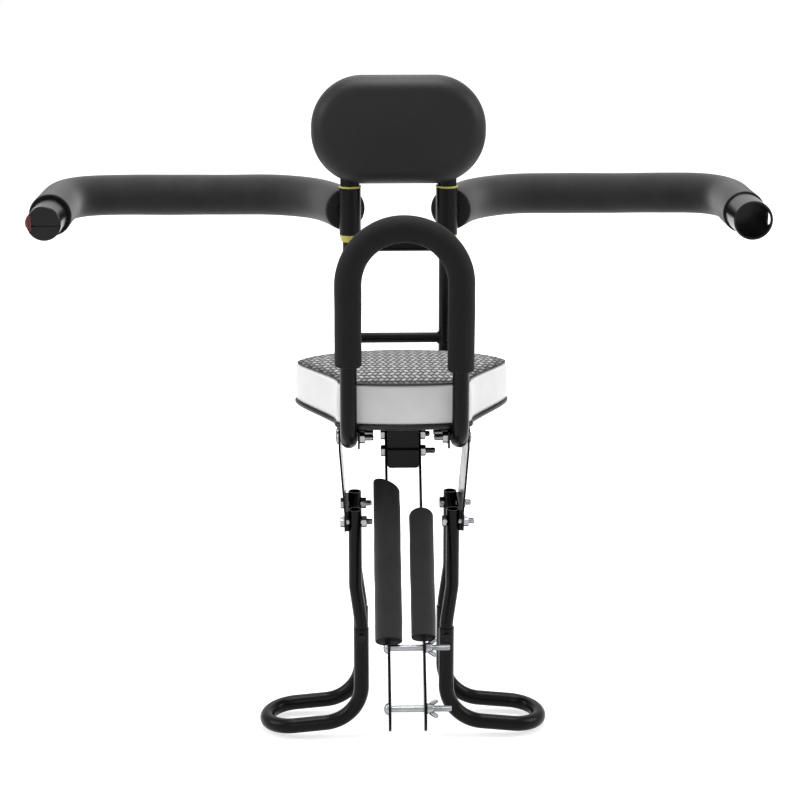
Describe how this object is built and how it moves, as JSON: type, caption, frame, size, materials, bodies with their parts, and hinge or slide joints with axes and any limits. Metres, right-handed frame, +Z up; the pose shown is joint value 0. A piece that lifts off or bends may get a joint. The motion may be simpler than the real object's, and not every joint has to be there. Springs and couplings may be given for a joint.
{
  "type": "bicycle child seat",
  "caption": "Front-mounted child bicycle seat: padded saddle, back pad, foam hoop, foam guard arms that swing shut and latch, hanging stirrup footrests and a tube clamp.",
  "frame": {"origin": "underside of the cradle block, straight below the cradle bolt, where the seat rests on the top tube", "axes": "+X to the right seen from the seat's front, +Y to the seat's rear, +Z up; the child faces -Y"},
  "size_m": [0.7576, 0.4796, 0.632],
  "materials": {
    "black_steel": "gloss black powder coat",
    "foam": "matte closed-cell foam",
    "arm_foam": "matte closed-cell foam",
    "pad": "satin integral-skin polyurethane",
    "band": "smooth white vinyl",
    "panel": "grey basket-weave cloth",
    "piping": "dark vinyl piping",
    "base": "moulded dark plastic",
    "zinc": "bright zinc plate",
    "black_screw": "black oxide",
    "nylon": "yellow moulded nylon",
    "latch": "fine-textured black plastic",
    "button": "glossy dark red plastic",
    "spring": "spring steel"
  },
  "bodies": {
    "seat_frame": {"front_hoop": "black_steel", "back_post_left": "black_steel", "back_post_right": "black_steel", "back_rung_upper": "black_steel", "back_rung_lower": "black_steel", "seat_support_front": "black_steel", "seat_support_rear": "black_steel", "mount_bracket": "black_steel", "cradle_block": "black_steel", "clamp_plate_left": "black_steel", "clamp_plate_right": "black_steel", "hanger_plate_left": "black_steel", "hanger_plate_right": "black_steel", "backing_tab_left": "black_steel", "backing_tab_right": "black_steel", "footrest_spacer_left": "black_steel", "footrest_spacer_right": "black_steel", "footrest_leg_left_front": "black_steel", "footrest_leg_left_rear": "black_steel", "footrest_leg_right_front": "black_steel", "footrest_leg_right_rear": "black_steel", "foot_loop_left": "black_steel", "foot_loop_right": "black_steel", "backrest_socket_left": "black_steel", "backrest_socket_right": "black_steel", "hoop_foam": "foam", "clamp_foam_left": "foam", "clamp_foam_right": "foam", "backrest_pad": "pad", "saddle_side_band": "band", "saddle_top_panel": "panel", "saddle_piping": "piping", "saddle_base": "base", "saddle_bolts": "zinc", "bracket_bolts": "zinc", "bracket_nuts": "zinc", "wing_bolts": "zinc", "hanger_bolts": "zinc", "hanger_nuts": "zinc", "footrest_bolts": "zinc", "footrest_nuts": "zinc", "footrest_screws": "black_screw", "upper_bush_left": "nylon", "upper_bush_right": "nylon", "lower_bush_left": "nylon", "lower_bush_right": "nylon"},
    "left_arm": {"arm_sleeve_left": "black_steel", "arm_tube_left": "black_steel", "arm_foam_left": "arm_foam", "latch_plug": "latch", "latch_spring": "spring"},
    "right_arm": {"arm_sleeve_right": "black_steel", "arm_tube_right": "black_steel", "arm_foam_right": "arm_foam", "latch_socket": "latch"},
    "latch_button": {"latch_button": "button"},
    "wing_nut_upper": {"wing_nut_upper": "zinc"},
    "wing_nut_lower": {"wing_nut_lower": "zinc"}
  },
  "joints": [
    {"name": "left_arm_swing", "type": "hinge", "parent": "seat_frame", "child": "left_arm", "pos_m": [-0.05, 0.165, 0.2205], "axis": [0, 0, 1], "range_deg": [0, 90]},
    {"name": "right_arm_swing", "type": "hinge", "parent": "seat_frame", "child": "right_arm", "pos_m": [0.05, 0.165, 0.2205], "axis": [0, 0, -1], "range_deg": [0, 90]},
    {"name": "latch_press", "type": "slide", "parent": "left_arm", "child": "latch_button", "axis": [1, 0, 0], "range_m": [0, 0.0026], "stiffness_N_per_m": 900, "springref_m": -0.0015, "deforming": ["latch_spring"]},
    {"name": "wing_nut_upper_turn", "type": "hinge", "parent": "seat_frame", "child": "wing_nut_upper", "pos_m": [0.0214, -0.12984, -0.14274], "axis": [1, 0, 0], "continuous": true},
    {"name": "wing_nut_lower_turn", "type": "hinge", "parent": "seat_frame", "child": "wing_nut_lower", "pos_m": [0.0214, -0.16777, -0.18794], "axis": [1, 0, 0], "continuous": true}
  ]
}
